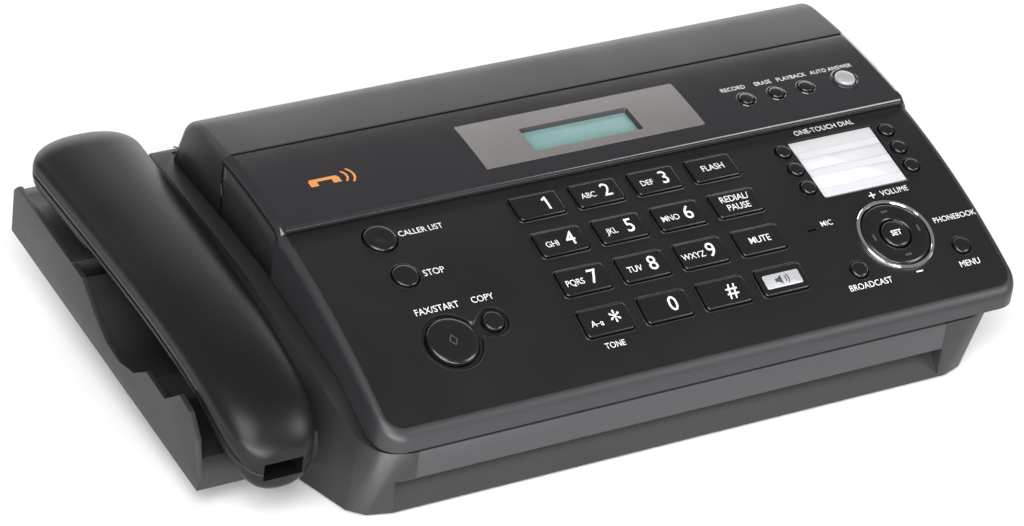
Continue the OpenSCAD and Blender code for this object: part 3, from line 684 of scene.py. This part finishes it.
def legend_of_key(name, digit, letters, x, s):
    top = 1.15
    marks = []
    if digit:
        dx = 4.2 if letters else 3.4
        if digit == "1":
            marks.append((ONE, x + dx + 0.4, s, top))
        elif digit == "*":
            marks.append((text_mesh(digit, 12.5, 0.04), x + dx, s - 1.8, top))
        else:
            marks.append((text_mesh(digit, 9.3, 0.04, 1.0, 0.95), x + dx, s, top))
    if letters:
        size = 4.0 if digit else 4.4
        dx = -4.3 if digit else 0.0
        marks.append((text_mesh(letters, size, 0.01, 0.95), x + dx, s - (0.8 if digit else 0.0), top))
    if name == "key_speaker":
        marks += speaker_icon(x, s - 0.2, 1.31)
        printed("legend_" + name, marks, "legend_dark", name)
    elif marks:
        printed("legend_" + name, marks, "legend", name)


def speaker_icon(x, s, h):
    cone = [(-2.4, -0.8), (-1.1, -0.8), (0.6, -2.1), (0.6, 2.1), (-1.1, 0.8), (-2.4, 0.8)]
    marks = [(cone, x - 1.0, s, h)]
    for r in (2.0, 3.2):
        marks.append((sector(r, 0.5, 42, 12), x - 0.2, s, h))
    return marks


# ---------------------------------------------------------------- round buttons
def dome(r, top, sunk=0.0):
    profile = [(-1.0, -3.7), (-1.0, -2.5), (0.0, -2.5), (0.0, top * 0.3)]
    for k in range(1, 7):
        a = math.radians(90 * k / 7)
        profile.append((r * 0.32 * (1 - math.cos(a)), top * (0.3 + 0.62 * math.sin(a))))
    profile += [(r * 0.45, top * 0.97), (r * 0.7, top * (1.0 - sunk)), (r * 0.88, top * (1.0 - sunk * 1.2))]
    return profile


def raised(profile, up):
    """A button's profile with its cap raised by up, and its flange left under the panel."""
    return [(i, h if h < 0 else h + up) for i, h in profile]


def buttons():
    for name, (x, s, r, top) in ROUND.items():
        sunk = 0.25 if name in ("stop_button", "copy_button", "caller_id_button", "start_button") else 0.0
        ring_piece("cap_" + name, round_outline(x, s, r), dome(r, top, sunk), "key_black", name, (name,),
                   sharp=50)
        if name not in ("start_button", "copy_button"):
            rim("rim_" + name, round_outline(x, s, r + ROUND_GAP), 0.5, 0.13)
    for name, (x, r, top) in TOP.items():
        mat = "clear_grey" if name == "auto_answer_button" else "key_black"
        ring_piece("cap_" + name, round_outline(x, TOP_S, r), raised(dome(r, top), STEP), mat, name,
                   (name,), sharp=50)
    start_area()


def start_area():
    outline = start_recess()
    holes = [round_outline(*ROUND[n][:2], ROUND[n][2] + ROUND_GAP, 48)(0)
             for n in ("start_button", "copy_button")]
    plate("start_floor", outline(-0.1), holes, -0.9, -2.1, "panel_black", "cover", edge=0.15)
    profile = [(-0.7, -0.1), (-0.45, 0.06), (-0.2, 0.08), (0.0, 0.0), (0.35, -0.85), (0.35, -1.2),
               (-0.7, -1.2)]
    ring_piece("start_rim", outline, profile, "panel_black", "cover", closed=True)
    x, s = ROUND["start_button"][:2]
    top = ROUND["start_button"][3] * 0.78
    diamond = [(-1.9, 0), (0, -2.6), (1.9, 0), (0, 2.6)]
    inner = [(p * 0.72, q * 0.72) for p, q in diamond]
    ring = []
    for k in range(4):
        ring.append(([diamond[k], diamond[(k + 1) % 4], inner[(k + 1) % 4], inner[k]], x, s, top))
    printed("start_mark", ring, "legend_dark", "start_button")


# ---------------------------------------------------------------- navigator
def navigator():
    ring = [(0.0, -0.8), (0.0, 0.55), (0.12, 1.0), (0.45, 1.3), (0.9, 1.38), (1.35, 1.25), (1.65, 0.9),
            (1.72, 0.4), (1.72, -0.8)]
    ring_piece("ring_chrome", round_outline(NAV_X, NAV_S, NAV_RING_R - 0.05, 96), ring, "chrome_ring",
               "cover", ("nav_ring",), closed=True)
    disc_profile = [(0.0, -2.4), (0.0, 0.35), (0.18, 0.75), (0.6, 1.08), (1.4, 1.3), (3.2, 1.38),
                    (5.4, 1.2), (7.0, 0.9), (7.6, 0.6), (7.8, 0.2), (7.8, -2.4)]
    ring_piece("disc_rocking", round_outline(NAV_X, NAV_S, NAV_DISC_R, 96), disc_profile, "key_black",
               "navigator", ("navigator_disc",), closed=True, sharp=50)
    button = [(0.0, -4.4), (0.0, 0.5), (0.2, 0.95), (0.7, 1.25), (1.6, 1.38), (3.4, 1.36), (5.0, 1.34)]
    ring_piece("cap_set", round_outline(NAV_X, NAV_S, SET_R, 64), button, "key_black", "set_button",
               ("set_button",), sharp=50)
    printed("legend_set", [(text_mesh("SET", 3.5, 0.07), NAV_X, NAV_S, 1.42)], "legend", "set_button")
    marks = []
    for a in (0, 90, 180, 270):
        r = 10.6
        c, d = math.cos(math.radians(a)), math.sin(math.radians(a))
        marks.append((bar(1.0, 3.0, a), NAV_X + r * c, NAV_S + r * d, 1.36))
    printed("legend_ticks", marks, "legend_dark", "navigator")


# ---------------------------------------------------------------- directory card
def directory():
    x0, s0 = CARD_X, CARD_S
    rim("rim_card", rounded(x0, s0, CARD_W, CARD_H, 0.8), 0.7, 0.3)
    ring_piece("card_sheet", rounded(x0, s0, CARD_W - 0.4, CARD_H - 0.4, 0.6),
               [(0, -1.25), (0, -0.5), (0.3, -0.35)], "card_white", "cover", ("directory_card",))
    marks = [(bar(CARD_W - 1.6, 3.4), x0, s0 + 5.0 * k, -0.31) for k in (-2.5, -0.5, 1.5)]
    printed("card_fields", marks, "card_line", "cover")


# ---------------------------------------------------------------- glossy upper panel
def upper_panel():
    left, right = 3.2, COVER_W - 3.2
    front, back = s_at(STEP_Y, STEP), s_at(SEAM_Y - 1.6, STEP)
    holes = [round_outline(x, TOP_S, r + KEY_GAP, 36)(0) for x, r, _ in TOP.values()]
    window = ((LCD[0] + LCD[1]) / 2, (LCD[2] + LCD[3]) / 2, LCD[1] - LCD[0], LCD[3] - LCD[2])
    holes.append(rounded(*window[:2], window[2] + 1, window[3] + 1, 0.6)(0))
    deck = rounded(COVER_W / 2, (front + back) / 2 + 2.5, COVER_W - 5, back - front + 3, 0.6, 3)(0)
    plate("deck", deck, holes, 0.2, -1.6, "case_black", "cover", edge=0)
    front_lip = front + 2.4
    face = rounded((left + right) / 2, (front_lip + back) / 2, right - left, back - front_lip, 0.4, 3)(0)
    # the glossy panel's colour is raised as a painted reflection
    plate("gloss_face", face, holes, STEP, 0.35, "gloss_black", "cover", ("upper_panel",), edge=0.35)
    lip()
    bx, bs = (BEZEL[0] + BEZEL[1]) / 2, (BEZEL[2] + BEZEL[3]) / 2
    hole = rounded(*window, 0.8)
    plate("bezel_silver", rounded(bx, bs, BEZEL[1] - BEZEL[0], BEZEL[3] - BEZEL[2], 0.6)(0), [hole(0)],
          STEP + 0.25, STEP - 0.4, "silver_plastic", "cover", ("lcd_bezel",), edge=0.2)
    inner = [(-0.1, STEP + 0.2), (0.0, STEP + 0.2), (0.9, STEP - 1.5), (0.9, STEP - 2.4),
             (-0.1, STEP - 2.4)]
    # the bezel's inner lip is coloured dark: painted shade of the display's recess
    ring_piece("bezel_lip", hole, inner, "socket_plastic", "cover", closed=True)
    glass = [(-0.2, STEP - 3.0), (-0.2, STEP - 1.7), (0.4, STEP - 1.6)]
    ring_piece("display_glass", hole, glass, "display", "cover", ("panel_board",))
    collar = [(-1.3, STEP - 0.1), (-1.1, STEP + 0.5), (-0.6, STEP + 0.8), (-0.1, STEP + 0.5),
              (0.0, STEP - 0.1)]
    for name, (x, r, _) in TOP.items():
        scale = 1.0 if name == "auto_answer_button" else 0.45
        profile = [(i * (1 if scale == 1 else 0.6), STEP + (h - STEP) * scale) for i, h in collar]
        ring_piece("collar_" + name, round_outline(x, TOP_S, r + KEY_GAP), profile, "gloss_black", "cover",
                   closed=True)


def lip():
    """The rounded front edge of the glossy panel, from one side of the cover to the other."""
    front = s_at(STEP_Y, STEP)
    section = [(2.6, STEP)]
    for k in range(9):
        a = math.radians(90 + 90 * k / 8)
        section.append((2.2 + 2.2 * math.cos(a), STEP - 2.2 + 2.2 * math.sin(a)))
    section += [(0.1, 0.45), (2.6, 0.45)]
    xs = [3.2] + [10.0 + 20.0 * k for k in range(int((COVER_W - 20) / 20) + 1)] + [COVER_W - 3.2]
    columns = [[on_arc(x, front + ds, h) for ds, h in section + section[:1]] for x in xs]
    verts_faces = capped(columns)
    piece("gloss_lip", *verts_faces, "gloss_black", "cover", sharp=50)


def capped(columns):
    """A swept closed section with both ends capped; the last point of each column repeats the first."""
    n = len(columns[0]) - 1
    verts = [p for column in columns for p in column[:-1]]
    faces = [(i * n + j, (i + 1) * n + j, (i + 1) * n + (j + 1) % n, i * n + (j + 1) % n)
             for i in range(len(columns) - 1) for j in range(n)]
    last = (len(columns) - 1) * n
    return verts, faces + [tuple(range(n)), tuple(range(last + n - 1, last - 1, -1))]


def key_board():
    """The board and its contact sheet, seen from below with the cover open."""
    def local(x, s, h):
        mid_s = 46.0
        a = TILT - mid_s / PANEL_R
        y0 = ARC_Y - PANEL_R * math.sin(a)
        z0 = ARC_Z + PANEL_R * math.cos(a)
        d = s - mid_s
        return at(x, y0 + d * math.cos(a) - h * math.sin(a), z0 + d * math.sin(a) + h * math.cos(a))
    ring_piece("board_keys", rounded(150, 46, 250, 84, 2.0), [(0, -10.6), (0, -9.2), (0.2, -9.0)], "board",
               "cover", place=local)
    ring_piece("sheet_contacts", rounded(156, 53, 116, 66, 2.0), [(0, -9.0), (0, -8.5), (0.2, -8.4)],
               "rubber_black", "cover", place=local)


# ---------------------------------------------------------------- rear hood
def hood_profile():
    """(y, z, outward y, outward z) from the front seam over the crest to the rear edge."""
    points = []
    for k in range(9):
        y = SEAM_Y + (CREST_Y - SEAM_Y) * k / 8
        a = math.asin((ARC_Y - y) / (PANEL_R + STEP))
        points.append((y, arc_height(y, STEP), -math.sin(a), math.cos(a)))
    for k in range(1, 13):
        a = math.radians(90 - 68 * k / 12)
        c, d = math.cos(a), math.sin(a)
        points.append((CREST_Y + CREST_R * c, CREST_Z + CREST_R * d, c, d))
    y0, z0, ny, nz = points[-1]
    low = parting_z(HOOD_REAR_Y) + PARTING_GAP
    for t in (0.5, 1.0):
        z = z0 + (low - z0) * t
        points.append((y0 + (z0 - z) * math.tan(math.radians(22)), z, ny, nz))
    return points


def rounded_edge(d, r):
    """Drop of a rounded edge of radius r at d from the side."""
    return r - math.sqrt(max(r * r - (r - d) ** 2, 0)) if d < r else 0.0


def hood():
    r = 3.2
    profile = hood_profile()
    y0, z0, ny0, nz0 = profile[0]
    profile = [(y0, z0 - 3.5, ny0, nz0), (y0, z0 - 0.3, ny0, nz0), (y0 + 0.3, z0, ny0, nz0)] + profile[1:]
    ends = [r * (1 - math.cos(math.radians(90 * k / 8))) for k in range(9)]
    middle = [20.0 + 25.0 * k for k in range(int((COVER_W - 40) / 25) + 1)]
    columns = []
    for y, z, ny, nz in profile:
        def spot(x, i):
            py = y - ny * i
            return at(x, py, max(z - nz * i, parting_z(py) + PARTING_GAP))

        low = at(0, y - ny * r, parting_z(y - ny * r) + PARTING_GAP)
        across = [spot(d, rounded_edge(d, r)) for d in ends]
        left = [low, low.lerp(across[0], 0.5)] + across
        right = [Vector((2 * at(COVER_W / 2, 0, 0).x - p.x, p.y, p.z)) for p in reversed(left)]
        columns.append(left + [spot(x, 0.0) for x in middle] + right)
    shell("hood_shell", columns, "case_black", "cover", ("rear_hood",))
    for side in ("left", "right"):
        cheek(side)
        side_bead(side)


def cheek(side):
    """Rounded edge of the glossy panel and the side wall under it, in front of the hood."""
    r = 3.1
    ends = [r * (1 - math.cos(math.radians(90 * k / 7))) for k in range(8)]
    edge, wall = [], []
    steps = 16
    for k in range(steps + 1):
        y = STEP_Y + (SEAM_Y - 0.2 - STEP_Y) * k / steps
        a = math.asin((ARC_Y - y) / (PANEL_R + STEP))
        z = arc_height(y, STEP)
        front = 2.2 - math.sqrt(max(2.2 ** 2 - (2.2 - min(y - STEP_Y, 2.2)) ** 2, 0))

        def spot(d, i):
            x = COVER_W - d if side == "right" else d
            return at(x, y + math.sin(a) * i, z - math.cos(a) * (i + front))

        column = [spot(d, rounded_edge(d, r)) for d in reversed(ends)]
        column += [spot(0.0, r + 0.8), spot(0.9, r + 0.8), spot(3.3, 1.4)]
        edge.append(column + column[:1])
        top = spot(0.35, r + 0.3)
        low = Vector((top.x, top.y, at(0, 0, parting_z(y) + PARTING_GAP).z))
        wall.append([top, top.lerp(low, 0.5), low])
    piece("gloss_edge_" + side, *capped(edge), "gloss_black", "cover", sharp=50)
    shell("side_wall_" + side, wall, "case_black", "cover", thickness=1.8, toward=at(COVER_W / 2, 110, 50))


def side_bead(side):
    """A fine raised line along the cover's side, running over from the glossy panel to the hood."""
    columns = []
    for k in range(25):
        y = 93.0 + (176.0 - 93.0) * k / 24
        z = 66.0 - (0.0025 if y < 136 else 0.006) * (y - 136) ** 2
        ring = []
        for j in range(7):
            a = math.radians(60 * j)
            x = 0.32 + 0.3 * math.cos(a)
            ring.append(at(COVER_W - x if side == "right" else x, y, z + 0.42 * math.sin(a)))
        columns.append(ring)
    piece("bead_" + side, *capped(columns), "gloss_black", "cover", sharp=70)


def shell(name, columns, mat, body, replaces=(), thickness=WALL, toward=None):
    """A grid given a wall thickness on the side that faces a point inside the machine."""
    obj = grid_piece(name, columns, mat, body, replaces)
    inside = toward or at(COVER_W / 2, 150, 40)
    mesh = obj.data
    out = sum(p.normal.dot(p.center - inside) * p.area for p in mesh.polygons)
    if out < 0:
        mesh.flip_normals()
    thick = obj.modifiers.new("wall", "SOLIDIFY")
    thick.thickness = thickness * MM
    thick.offset = -1.0
    bpy.context.view_layer.update()
    mesh = bpy.data.meshes.new_from_object(obj.evaluated_get(bpy.context.evaluated_depsgraph_get()))
    obj.modifiers.clear()
    obj.data = mesh
    return obj


# ---------------------------------------------------------------- labels on the panel
def labels():
    words = [("CALLER LIST", 55.6, 82.6, 3.9), ("STOP", 50.8, 61.6, 4.3), ("FAX/START", 43.7, 44.8, 4.2),
             ("COPY", 63.5, 44.9, 4.1), ("TONE", 106.5, 12.6, 3.7), ("MIC", 220.5, 43.8, 3.6),
             ("MENU", 272.4, 12.0, 4.0), ("BROADCAST", 224.7, 12.6, 3.9), ("VOLUME", 258.0, 51.8, 3.8),
             ("ONE-TOUCH DIAL", 247.0, 90.8, 3.8), ("PHONEBOOK", 277.0, 33.8, 3.7)]
    marks = [(text_mesh(w, size, 0.005, 1.0), x, s, INK) for w, x, s, size in words]
    marks.append((bar(3.2, 0.6), 247.3, 52.0, INK))
    marks.append((bar(0.6, 3.2), 247.3, 52.0, INK))
    marks.append((bar(3.2, 0.6), 248.6, 13.4, INK))
    printed("labels_panel", marks, "legend", "cover")
    top = STEP + INK
    names = [("RECORD", 220.0, 3.3), ("ERASE", 234.5, 3.3), ("PLAYBACK", 248.4, 3.3),
             ("AUTO ANSWER", 268.0, 3.2)]
    marks = [(text_mesh(w, size, 0.0, 1.0), x, TOP_S + 7.6, top) for w, x, size in names]
    printed("labels_top", marks, "legend", "cover")


def accent_mark():
    """A plain pictogram of a telephone receiver with two sound arcs, in orange."""
    x, s, h = 30.0, s_at(110.0, STEP), STEP + INK
    marks = [(bar(12.0, 1.6), x, s, h), (bar(3.4, 3.2), x - 4.9, s - 1.6, h),
             (bar(3.4, 3.2), x + 4.9, s - 1.6, h)]
    for r in (9.5, 12.5):
        marks.append((sector(r, 1.0, 32, 8, 0.62), x + 1.0, s - 0.6, h))
    printed("mark_receiver", marks, "accent", "cover")


# ---------------------------------------------------------------- handset
HANDSET_Y = (5.0, 188.0)
HANDSET_X = -36.85
HALF_W = (18.8, 23.1)


def smoothstep(a, b, u):
    t = min(max((u - a) / (b - a), 0.0), 1.0)
    return t * t * (3 - 2 * t)


def ease(d, length, n):
    t = min(max(d / length, 0.0), 1.0)
    return (1 - (1 - t) ** n) ** (1 / n)


def seam_z(y):
    d = y - HANDSET_Y[0]
    return 47.2 - 22.6 * math.exp(-d / 30.8) + 0.05 * d


def handset_section(y):
    nose, tail = y - HANDSET_Y[0], HANDSET_Y[1] - y
    cup = 1 - smoothstep(20, 42, y) + smoothstep(127, 139, y)
    share = nose / (HANDSET_Y[1] - HANDSET_Y[0])
    half = (HALF_W[0] + (HALF_W[1] - HALF_W[0]) * share) * ease(nose, 33, 3.2) * ease(tail, 14, 2.4)
    band = 2.6 + 3.4 * math.exp(-nose / 24)
    dome_up = 9.2 * ease(nose, 18, 2.2) * ease(tail, 15, 2.2)
    low = (6.3 + 5.2 * cup) * ease(nose, 8, 2.2) * ease(tail, 9, 2.2)
    return half, band, dome_up, low


def handset_half(name, side, node):
    steps, around = 96, 40
    columns = []
    for i in range(steps + 1):
        t = 0.5 - 0.5 * math.cos(math.pi * i / steps)
        y = HANDSET_Y[0] + 0.7 + (HANDSET_Y[1] - HANDSET_Y[0] - 1.4) * t
        half, band, dome_up, low = handset_section(y)
        h = dome_up if side > 0 else low
        band = band if side > 0 else 1.2
        seam = seam_z(y)

        def spot(x, up):
            return at(HANDSET_X + x, y, seam + side * (0.05 + up))

        flank = [spot(half - 0.6, 0.0), spot(half - 0.6, 0.3), spot(half - 0.1, 0.42), spot(half, 0.6),
                 spot(half, band - 0.25)]
        column = list(flank)
        for j in range(around + 1):
            a = math.pi * j / around
            c, d = math.cos(a), math.sin(a)
            x = (half - 0.15) * math.copysign(abs(c) ** (2 / 2.3), c)
            column.append(spot(x, band + h * abs(d) ** (2 / 2.2)))
        column += [Vector((2 * at(HANDSET_X, 0, 0).x - p.x, p.y, p.z)) for p in reversed(flank)]
        columns.append(column + column[:1])
    return piece(name, *capped(columns), "handset_black", "handset", (node,), sharp=24)


def carve(obj, cutter):
    cut = obj.modifiers.new("cut", "BOOLEAN")
    cut.operation = "DIFFERENCE"
    cut.solver = "EXACT"
    cut.object = cutter
    bpy.context.view_layer.update()
    mesh = bpy.data.meshes.new_from_object(obj.evaluated_get(bpy.context.evaluated_depsgraph_get()))
    obj.modifiers.clear()
    obj.data = mesh
    mesh.polygons.foreach_set("use_smooth", [True] * len(mesh.polygons))
    mesh.set_sharp_from_angle(angle=math.radians(SHARP))


BOX_FACES = [(0, 1, 3, 2), (4, 6, 7, 5), (0, 4, 5, 1), (2, 3, 7, 6), (0, 2, 6, 4), (1, 5, 7, 3)]


def block(lo, hi):
    mesh = bpy.data.meshes.new("cutter")
    corners = [at(x, y, z) for x in (lo[0], hi[0]) for y in (lo[1], hi[1]) for z in (lo[2], hi[2])]
    mesh.from_pydata([tuple(c) for c in corners], [], BOX_FACES)
    obj = bpy.data.objects.new("cutter", mesh)
    bpy.context.scene.collection.objects.link(obj)
    return obj


def handset():
    upper = handset_half("handset_top", 1, "handset_upper")
    lower = handset_half("handset_under", -1, "handset_lower")
    cutter = block((HANDSET_X - 8, 0, 22.2), (HANDSET_X + 8, 22, 29.4))
    for half in (upper, lower):
        carve(half, cutter)
    bpy.data.objects.remove(cutter)


# ---------------------------------------------------------------- the rest keeps its CAD shape
def slits():
    """The dark gaps at the two ends of the fascia."""
    low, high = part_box("front_fascia")
    sunk, deep = 0.1 * MM, 1.0 * MM
    for side, x, width in (("left", low.x, 0.8 * MM), ("right", high.x, 0.45 * MM)):
        corners = [(px, py, pz) for px in (x - width / 2, x + width / 2)
                   for py in (low.y + sunk, low.y + deep) for pz in (low.z, high.z)]
        piece("slit_" + side, corners, BOX_FACES, "rubber_black", "base")


def mechanical():
    softened("case_bottom", "bottom_case", "case_black", "base", 0.5)
    softened("cradle_side", "handset_cradle", "case_black", "base", 1.4, 3)
    # the fascia is drawn in the case's black painted lighter, as painted light on its front face
    softened("fascia_strip", "front_fascia", "fascia_black_painted_light", "base", 0.4)
    plain = {"paper_roll": "paper", "thermal_head": "ceramic", "platen_roller": "roller_rubber",
             "feed_roller": "roller_rubber", "image_sensor": "socket_plastic", "drive_motor": "steel",
             "drive_gear": "nylon", "circuit_boards": "board", "modular_jacks": "socket_plastic",
             "power_inlet": "socket_plastic", "speaker": "steel", "rubber_feet": "rubber_black",
             "case_screws": "steel", "hook_switch": "socket_plastic"}
    for node, mat in plain.items():
        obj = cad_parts[node]
        obj.data.materials.clear()
        obj.data.materials.append(MATERIALS[mat])


panel_top()
panel_skirt()
key_wells()
keys()
buttons()
navigator()
directory()
upper_panel()
key_board()
hood()
labels()
accent_mark()
handset()
mechanical()
slits()
